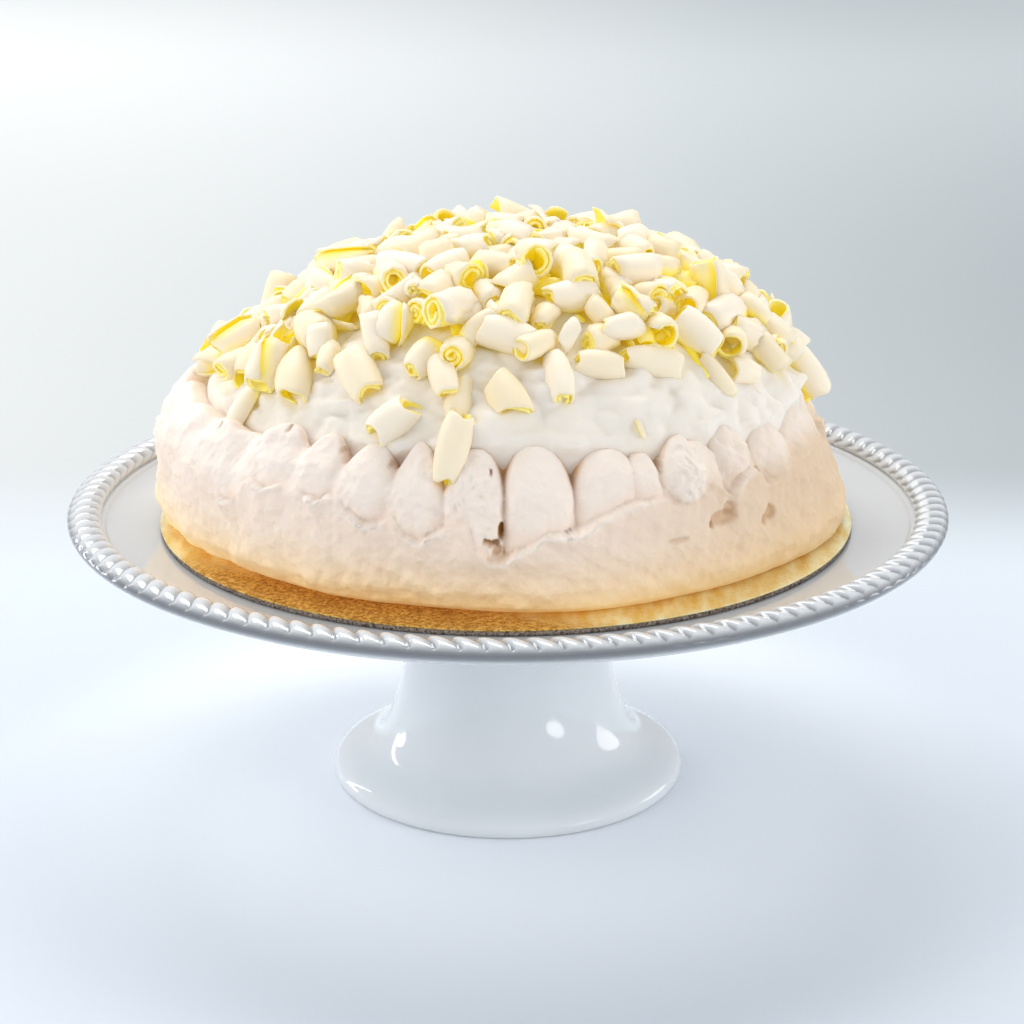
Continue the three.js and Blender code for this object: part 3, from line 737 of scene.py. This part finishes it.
# Under the hem the cream turns in, and drops between the kisses.
tuck = np.linspace(0, 1, HEM_ROWS + 1)[1:, None]
hem_reach = np.hypot(dome[-1, :, 0] - CAKE_X, dome[-1, :, 1])
hem_level = dome[-1, :, 2] - CAKE_Z
tucked_in = 100.6 + 6.5 * np.sin(cream_turn) ** 2
tuck_reach = hem_reach + (tucked_in - hem_reach) * smooth_step(0, 0.55, tuck)
tuck_level = hem_level - (hem_level - CREAM_UNDER) * tuck**1.25
tucked = np.stack([CAKE_X + tuck_reach * np.sin(cream_turn), -tuck_reach * np.cos(cream_turn),
                   CAKE_Z + tuck_level], -1)
cream_points = np.vstack([dome, tucked])[::-1]

whipped, whipped_place = new_material("whipped_cream")
# Fat and air: white with a touch of ivory, soft light inside, a faint satin surface with
# bubbles of 2.4 mm, coarser than real ones so that they show.
whipped_bubbles = add_node(whipped, "TexNoise", [("Scale", 420.0), ("Detail", 3.0)],
                           [("Vector", whipped_place)])
whipped_bump = add_node(whipped, "Bump", [("Strength", 0.12), ("Distance", 0.0006)],
                        [("Height", whipped_bubbles)])
# Painted shade: yellow where curls cover the cream.
whipped_painted_bounce = add_node(whipped, "Attribute", [("attribute_name", "curl_painted_bounce")])
whipped_tone = add_node(whipped, "Mix", [("data_type", "RGBA"), (6, "#f2ebe0"), (7, "#ffe98a")],
                        [(0, whipped_painted_bounce.outputs["Fac"])])
whipped_shader = add_node(whipped, "BsdfPrincipled", [
    ("Roughness", 0.5), ("Specular IOR Level", 0.35), ("Subsurface Weight", 0.35),
    ("Subsurface Radius", (0.005, 0.0045, 0.004)), ("Subsurface Scale", 1.0)],
    [("Base Color", whipped_tone), ("Normal", whipped_bump)])
add_node(whipped, "OutputMaterial", [], [(0, whipped_shader)])

cream = grid_mesh("spread_cream", cream_points, whipped,
                  cap_start=(CAKE_X, 0, CAKE_Z + CREAM_UNDER),
                  cap_end=(CAKE_X, 0, CAKE_Z + CREAM_BASE + CREAM_RISE))
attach(cream, "root")
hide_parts("whipped_cream")


# ---------------------------------------------------------------- white chocolate curls
# Curls scraped off a block of white chocolate: thick sheets rolled up into barrels, open
# half rolls and shards. The larger ones are each given a place; the rest of the heap is
# dropped curl by curl where it is thinnest, each lying on what is already there.

SHEET = 1.15
HEAP_CURLS = 380
HEAP_CRUMBS = 150
TRIES_PER_CURL = 9
HEAP_BED = 2.2

# Curls with a given place: degrees, share down the cream, turn of the axis down the slope,
# rise of the axis off the slope, radius, length, turns rolled, skew of the free edge,
# extra lift.
LOOSE = np.array([
    (-58.5, 0.972, 80, 0, 4.3, 15, 1.0, 0.5, 0.5), (-49, 0.87, 50, 4, 7.4, 19, 1.05, 0.7, 0),
    (-21, 0.945, -50, 0, 7, 16, 1.5, 0.9, 1.5), (-9, 0.885, 95, 0, 5.5, 14, 1.4, 0.4, 0),
    (-9, 0.99, 100, -6, 5.9, 24, 1.3, 0.9, 2.5), (0.3, 0.883, 62, 0, 6.9, 14, 1.4, 0.5, 0),
    (11.9, 0.842, 90, 10, 6, 18, 1.9, 0.2, 0), (22, 0.817, 15, 0, 6, 16, 1.3, 0.3, 0),
    (34.8, 0.824, 22, 2, 6.2, 20, 1.3, 0.4, 0), (50, 0.885, 85, 0, 4.6, 17, 1.2, 0.3, 0),
    (58.5, 0.897, 25, 8, 5.2, 11, 0.85, 0.2, 0), (89, 0.975, 90, 0, 6.8, 26, 1.3, 0.6, 1.5)])
LAID = np.array([
    (-96, 1.0, 12, 4, 3.6, 17, 2.0, 0.1, 0.5), (97, 0.86, 0, 4, 5.4, 18, 1.1, 0.1, 0),
    (-10.8, 0.771, 95, 45, 6.3, 14, 2.4, 0.1, -1.5), (-19.2, 0.786, 105, 18, 6, 13, 1.8, 0.3, -1),
    (-55, 0.73, 15, 0, 7.6, 15, 1.3, 0.6, 1), (-32, 0.845, 42, 0, 7.2, 18, 1.4, 0.6, 0),
    (-24, 0.63, 90, 40, 5.6, 13, 2.3, 0.1, -1), (-4, 0.4, 28, 6, 6.3, 18, 2.2, 0.2, 2),
    (-27, 0.41, 118, 0, 6.6, 16, 1.5, 0.4, 2), (-49, 0.42, -5, 0, 6.2, 20, 1.5, 0.3, 2),
    (-64, 0.54, -30, 0, 6, 16, 1.6, 0.3, 1), (31, 0.42, 72, 0, 7.4, 18, 1.1, 0.8, 2),
    (22, 0.59, -2, 0, 6.2, 17, 1.5, 0.4, 2), (1, 0.73, 22, 0, 6.9, 17, 1.5, 0.5, 1),
    (61, 0.69, -12, 0, 6.1, 18, 1.4, 0.3, 1.5), (51, 0.78, 70, 0, 7.4, 18, 0.95, 0.3, 1),
    (47, 0.62, 90, 38, 5.2, 12, 2.2, 0.1, 0), (8, 0.76, -35, 0, 5.2, 15, 1.1, 0.5, 0.5),
    (-128, 0.46, -38, 8, 4.9, 13, 1.3, 0.1, 3), (-68, 0.87, 60, 0, 6, 15, 1.4, 0.4, 0.5),
    (-6, 0.70, 140, 0, 5, 14, 1.3, 0.4, 1), (-13, 0.845, 60, 0, 5.4, 14, 1.3, 0.3, 0),
    (-116, 0.6, 15, 0, 6.5, 18, 1.5, 0.2, 5)])
SHARDS_LAID = np.array([
    (25.4, 0.95, 78, 0, 4, 10, 0.14, 0.3, 0.6), (36, 0.66, -14, 10, 7.5, 15, 0.36, 0.2, 3)])

# Where the cream stays bare within the heap: degrees, share down the cream, millimetres.
BARE = [(-41, 0.745, 8), (-25, 0.81, 8), (62, 0.9, 6), (20, 0.71, 5)]


def curl_sections(rows, steps, rings, random, barrel=(0.04, 0.26), seam=(0, 2 * np.pi)):
    """The points of many curls at once, each in its own frame with its axis along X.
    A curl is a ring of points, swept along its axis: out round its outer spiral and back
    round its inner one. It is fatter in the middle, a little conical and bent, and its
    ends are cut slanting and torn."""
    count = len(rows)
    radius, length, rolled, skew = (rows[:, column][:, None, None] for column in (4, 5, 6, 7))
    along = np.sin(np.linspace(-0.5, 0.5, rings) * np.pi)[None, :, None]
    wind = np.linspace(0, 1, steps)[None, None, :] ** 1.15 * rolled
    (taper, cone, gap, lean, cut_depth, cut_turn, tear_depth, tear_turn, bow) = random.uniform(
        [barrel[0], -0.13, 0.25, -1, -0.35, 0, 0.2, 0, -0.12],
        [barrel[1], 0.13, 0.7, 1, 0.35, 6.28, 0.7, 6.28, 0.12], (count, 9)).T[..., None, None]
    body = radius * (1 - taper * np.abs(along) ** 2.3) * (1 + cone * along)
    pitch = SHEET + gap
    outer_reach = np.maximum(body - pitch * wind, 1.4)
    edge_thin = 0.45 + 0.55 * np.clip(np.minimum(wind, rolled - wind) * 9, 0, 1)
    inner_reach = np.maximum(outer_reach - SHEET * edge_thin, 0.5)
    start = random.uniform(*seam, (count, 1, 1))
    theta = start + 2 * np.pi * wind + skew * along * lean
    end = np.sign(along) * np.abs(along) ** 3
    cut = cut_depth * radius * np.cos(theta - cut_turn) * end
    torn = tear_depth * np.cos(3.1 * theta + tear_turn) * end
    axis = length * along / 2 + cut + torn
    bend = bow * radius * (1 - along**2)
    loops = [np.stack([axis, reach * np.cos(theta) + bend, reach * np.sin(theta)], -1)
             for reach in (outer_reach, inner_reach)]
    points = np.concatenate([loops[0], loops[1][:, :, ::-1]], axis=2)
    # Painted shade: the inner side of the sheet, and the outer side where an outer turn covers it, are
    # marked to be painted yellow, less at the ends.
    outside = np.clip((wind - 0.85) * 6, 0, 1) + 0 * along
    yellow_painted_shade = np.concatenate([outside, np.ones(outside.shape)], axis=2)
    return points, yellow_painted_shade * (1 - 0.35 * np.abs(along) ** 6)


def curl_mesh(name, rows, steps, rings, frames, material, random, **shape):
    """One mesh of many curls, from their rows and their frames (centre, axis, normal)."""
    local, yellow_painted_shade = curl_sections(rows, steps, rings, random, **shape)
    centre, axis, normal = frames
    across = np.cross(normal, axis)
    basis = np.stack([axis, across, normal], 1)
    points = np.einsum("mrsk,mkj->mrsj", local, basis) + centre[:, None, None]
    ring = 2 * steps
    index = np.arange(rings * ring).reshape(rings, ring)
    right = np.roll(index, -1, axis=1)
    side = np.stack([index[:-1], index[1:], right[1:], right[:-1]], -1).reshape(-1, 4)
    outer, inner = index[:, :steps], index[:, :steps - 1:-1]
    first = np.stack([outer[0, :-1], outer[0, 1:], inner[0, 1:], inner[0, :-1]], -1)
    last = np.stack([outer[-1, :-1], inner[-1, :-1], inner[-1, 1:], outer[-1, 1:]], -1)
    one = np.vstack([side, first, last])
    every = (one[None] + (np.arange(len(rows)) * rings * ring)[:, None, None]).reshape(-1, 4)
    return new_piece(name, points.reshape(-1, 3), every.tolist(), material), points, yellow_painted_shade


# A map of the heap: how high the curls stand off the cream, on a flat grid of millimetres
# whose middle is the cream's top and whose distances are measured down its slope.
HALF = 150
heap_map = np.zeros((2 * HALF, 2 * HALF))
cell_x, cell_y = np.meshgrid(np.arange(-HALF, HALF) + 0.5, np.arange(-HALF, HALF) + 0.5)
arc_down = np.linspace(0, 1.15, 116)


def on_map(turn, down):
    """The flat place of a point of the cream: its distance down the slope, and its angle."""
    edge, power = cream_edge(turn), cream_power(turn)
    step_out = edge * np.diff(arc_down)
    step_fall = CREAM_RISE * np.diff(arc_down**power)
    arc = np.concatenate([[0], np.cumsum(np.hypot(step_out, step_fall))])
    reach = np.interp(down, arc_down, arc)
    return reach * math.sin(turn), -reach * math.cos(turn)


def settle(row):
    """Lays a curl on the heap: it rests on what lies under its two ends and its middle,
    then raises the map by its own round back. Returns its lift and its tilt."""
    turn, down, twist, rise, radius, length, rolled, _, extra = row
    angle = math.radians(turn)
    x, y = on_map(angle, down)
    level = np.array([math.cos(angle), math.sin(angle)])
    slope = np.array([math.sin(angle), -math.cos(angle)])
    twist = math.radians(twist)
    run = math.cos(twist) * level + math.sin(twist) * slope
    back = radius if rolled > 0.5 else 2.0
    spots = [heap_map[int(y + s * run[1] + HALF) - 1:int(y + s * run[1] + HALF) + 2,
                      int(x + s * run[0] + HALF) - 1:int(x + s * run[0] + HALF) + 2].mean()
             for s in (-0.36 * length, 0, 0.36 * length)]
    tilt = math.radians(rise) + 0.7 * max(-0.5, min(0.5, math.atan2(spots[2] - spots[0], 0.72 * length)))
    bed = min(0.5 * (spots[0] + spots[2]) * 0.7 + 0.5 * spots[1], HEAP_BED)
    lift = bed + back * 0.56 + extra + 0.25 * length * math.sin(abs(math.radians(rise)))
    dx, dy = cell_x - x, cell_y - y
    along = dx * run[0] + dy * run[1]
    across = dx * run[1] - dy * run[0]
    reach = length / 2 * math.cos(tilt)
    under = (np.abs(along) < reach) & (np.abs(across) < back)
    back_height = lift + along * math.tan(tilt) + np.sqrt(np.clip(back**2 - across**2, 0, None))
    heap_map[under] = np.maximum(heap_map[under], back_height[under])
    return lift, tilt


def frames_of(rows, laid):
    """The centre, axis and normal of each curl from its row and its lift and tilt."""
    turn = np.radians(rows[:, 0])
    lift, tilt = laid[:, 0], laid[:, 1]
    centre, normal, downhill = on_cream(turn, rows[:, 1], lift)
    level = np.stack([np.cos(turn), np.sin(turn), 0 * turn], -1)
    twist = np.radians(rows[:, 2])[:, None]
    flat_axis = np.cos(twist) * level + np.sin(twist) * downhill
    tilt = tilt[:, None]
    axis = np.cos(tilt) * flat_axis + np.sin(tilt) * normal
    stood = np.cos(tilt) * normal - np.sin(tilt) * flat_axis
    return centre, axis, stood


def heap_reach(turn):
    """How far down the cream the heap spreads at an angle: least at the front."""
    return np.interp(math.degrees(turn), [-180, -95, -70, -50, -20, -5, 12, 35, 48, 62, 85, 180],
                     [0.97, 1.0, 0.93, 0.86, 0.76, 0.76, 0.75, 0.77, 0.86, 0.88, 0.97, 0.97])


kept_bare = np.zeros(heap_map.shape)
for bare_degrees, bare_down, bare_reach in BARE:
    bare_x, bare_y = on_map(math.radians(bare_degrees), bare_down)
    kept_bare += 14 * np.exp(-((cell_x - bare_x) ** 2 + (cell_y - bare_y) ** 2) / bare_reach**2)

chance = np.random.default_rng(4)
loose_laid = np.array([settle(row) for row in LOOSE])
laid_laid = np.array([settle(row) for row in LAID])
shards_laid = np.array([settle(row) for row in SHARDS_LAID])
dropped, dropped_laid, kinds = [], [], []
for number in range(HEAP_CURLS):
    kind = chance.choice(["rolled", "open", "shard"], p=[0.76, 0.13, 0.11])
    best = None
    for attempt in range(TRIES_PER_CURL):
        turn = chance.uniform(-np.pi, np.pi)
        reach = heap_reach(turn)
        down = reach * math.sqrt(chance.uniform(0, 1)) * 0.985
        x, y = on_map(turn, down)
        row, column = int(y + HALF), int(x + HALF)
        near = (slice(row - 4, row + 5), slice(column - 4, column + 5))
        thickness = (heap_map[near] + kept_bare[near]).mean() + 2.5 * (down / reach) ** 6
        if best is None or thickness < best[0]:
            best = (thickness, turn, down)
    _, turn, down = best
    small = chance.uniform(0, 1) ** 1.1
    rise = chance.choice([0, 0, 0, 0, 0, 10, 22])
    if kind == "rolled":
        curl = (3.9 + 3.5 * small, 9 + 9 * chance.uniform(), chance.uniform(1.5, 2.6), 0.7)
    elif kind == "open":
        curl = (4.4 + 3.2 * small, 10 + 8 * chance.uniform(), chance.uniform(0.7, 1.0), 0.6)
    else:
        curl = (4.5 + 5 * small, 5 + 11 * chance.uniform(), chance.uniform(0.12, 0.36), 0.5)
        rise = chance.choice([0, 15, 30])
    twist = chance.choice([chance.uniform(-180, 180), 90 + chance.uniform(-35, 35)], p=[0.6, 0.4])
    perched = 3.0 * chance.uniform(0, 1) ** 6
    row = (math.degrees(turn), down, twist, rise, *curl, chance.uniform(-0.8, 0.3) + perched)
    dropped.append(row)
    dropped_laid.append(settle(row))
    kinds.append(kind)

# Crumbs and thin scrapings that fell over the heap last.
for number in range(HEAP_CRUMBS):
    turn = chance.uniform(-np.pi, np.pi)
    down = heap_reach(turn) * math.sqrt(chance.uniform(0, 1)) * 0.97
    row = (math.degrees(turn), down, chance.uniform(-180, 180), chance.choice([0, 20, 45]),
           chance.uniform(2, 4.5), chance.uniform(2, 6), chance.uniform(0.12, 0.4), 0.8,
           chance.uniform(0, 1.2))
    dropped.append(row)
    dropped_laid.append(settle(row))
    kinds.append("shard")
dropped, dropped_laid, kinds = np.array(dropped), np.array(dropped_laid), np.array(kinds)

chocolate, chocolate_place = new_material("white_chocolate")
# Cocoa butter and milk: pale ivory with a satin skin in waves of 3 mm, and painted yellow
# shade inside the rolls and deep in the heap, where light only reaches it through the chocolate.
chocolate_painted_shade = add_node(chocolate, "Attribute", [("attribute_name", "yellow_painted_shade")]).outputs["Fac"]
chocolate_shade = add_node(chocolate, "Attribute", [("attribute_name", "tone")])
chocolate_pale = add_node(chocolate, "Mix", [("data_type", "RGBA"), (6, "#fef2de"), (7, "#fbeac8")],
                          [(0, chocolate_shade.outputs["Fac"])])
chocolate_tone = add_node(chocolate, "Mix", [("data_type", "RGBA"), (7, "#feec48")],
                          [(0, chocolate_painted_shade), (6, chocolate_pale)])
chocolate_grain = add_node(chocolate, "TexNoise", [("Scale", 330.0), ("Detail", 3.0)],
                           [("Vector", chocolate_place)])
chocolate_bump = add_node(chocolate, "Bump", [("Strength", 0.12), ("Distance", 0.0005)],
                          [("Height", chocolate_grain)])
# A faint yellow glow stands for the light that comes through the thin sheets.
chocolate_glow = add_node(chocolate, "Mix", [("data_type", "RGBA"), (6, "#000000"), (7, "#ffe61e")],
                          [(0, chocolate_painted_shade)])
chocolate_shader = add_node(chocolate, "BsdfPrincipled", [
    ("Emission Strength", 0.16), ("Roughness", 0.42), ("Specular IOR Level", 0.4),
    ("Subsurface Weight", 0.25), ("Subsurface Radius", (0.003, 0.0027, 0.0018)), ("Subsurface Scale", 1.0)],
    [("Base Color", chocolate_tone), ("Normal", chocolate_bump), ("Emission Color", chocolate_glow)])
add_node(chocolate, "OutputMaterial", [], [(0, chocolate_shader)])


def evened(values, reach, largest=False):
    """A map whose every cell is the mean, or the largest, of the square of cells round it."""
    shifts = range(-reach, reach + 1)
    for axis in (0, 1):
        moved = np.stack([np.roll(values, shift, axis=axis) for shift in shifts])
        values = moved.max(axis=0) if largest else moved.mean(axis=0)
    return values


# How high the heap's skin lies over each place: crevices are measured down from it.
heap_skin = evened(evened(heap_map, 4, True), 3)


def finish_curls(name, rows, laid, steps, rings, nodes, **shape):
    """Makes the mesh of one kind of curl and marks where it is painted yellow as shade: inside the rolls,
    and down in the crevices of the heap, by the depth under its skin."""
    piece, points, yellow_painted_shade = curl_mesh(name, rows, steps, rings, frames_of(rows, laid), chocolate,
                                      chance, **shape)
    turn = np.radians(rows[:, 0])
    centre, normal, downhill = on_cream(turn, rows[:, 1], laid[:, 0])
    level = np.stack([np.cos(turn), np.sin(turn), 0 * turn], -1)
    offset = points - centre[:, None, None]
    high, sideways, down = (np.einsum("mrsk,mk->mrs", offset, way) for way in (normal, level, downhill))
    flat = np.array([on_map(angle, share) for angle, share in zip(turn, rows[:, 1])])[:, None, None]
    map_x = flat[..., 0] + sideways * np.cos(turn)[:, None, None] + down * np.sin(turn)[:, None, None]
    map_y = flat[..., 1] + sideways * np.sin(turn)[:, None, None] - down * np.cos(turn)[:, None, None]
    cell = [np.clip((value + HALF).astype(int), 0, 2 * HALF - 1) for value in (map_y, map_x)]
    below = heap_skin[cell[0], cell[1]] - (high + laid[:, 0][:, None, None])
    deep = smooth_step(7.5, 14.5, below)
    add_mark(piece, "yellow_painted_shade", np.clip(0.95 * yellow_painted_shade + 0.85 * deep * (1 - yellow_painted_shade), 0, 1))
    add_mark(piece, "tone", chance.uniform(0, 1, (len(rows), 1, 1)) + 0 * yellow_painted_shade)
    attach(piece, "root")
    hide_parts(*nodes)


# The curls with a given place are barrels whose free edge lies underneath.
EDGE_UNDERNEATH = {"barrel": (0.1, 0.26), "seam": (-2.5, 0.5)}
loose_names = [f"loose_curl_{number:02d}" for number in range(1, 13)]
finish_curls("curls_at_the_front", LOOSE, loose_laid, 28, 8, loose_names, **EDGE_UNDERNEATH)
finish_curls("curls_on_the_heap", LAID, laid_laid, 28, 8, ["curl_heap"], **EDGE_UNDERNEATH)
finish_curls("laid_shards", SHARDS_LAID, shards_laid, 10, 7, ["curl_heap"])
for name, kind, steps, rings in (("rolled_curls", "rolled", 20, 4), ("open_curls", "open", 11, 4),
                                 ("shards", "shard", 5, 5)):
    finish_curls(name, dropped[kinds == kind], dropped_laid[kinds == kind], steps, rings, ["curl_heap"])

# Painted light and shade: the cream is painted yellow where curls cover it, for the yellow light that
# bounces between the curls.
whole_turn = np.concatenate([np.tile(cream_turn, (HEM_ROWS, 1)), dome_turn[::-1]])
whole_down = np.concatenate([np.ones((HEM_ROWS, CREAM_COLUMNS)) * 1.1, dome_down[::-1]])
map_reach = whole_down * cream_edge(whole_turn) * (1 + 0.14 * whole_down**2)
map_row = np.clip((-map_reach * np.cos(whole_turn) + HALF).astype(int), 0, 2 * HALF - 1)
map_column = np.clip((map_reach * np.sin(whole_turn) + HALF).astype(int), 0, 2 * HALF - 1)
thick_share = evened((heap_map > 2.5) * 1.0, 4)
add_mark(cream, "curl_painted_bounce", smooth_step(0.8, 1.0, thick_share[map_row, map_column]))
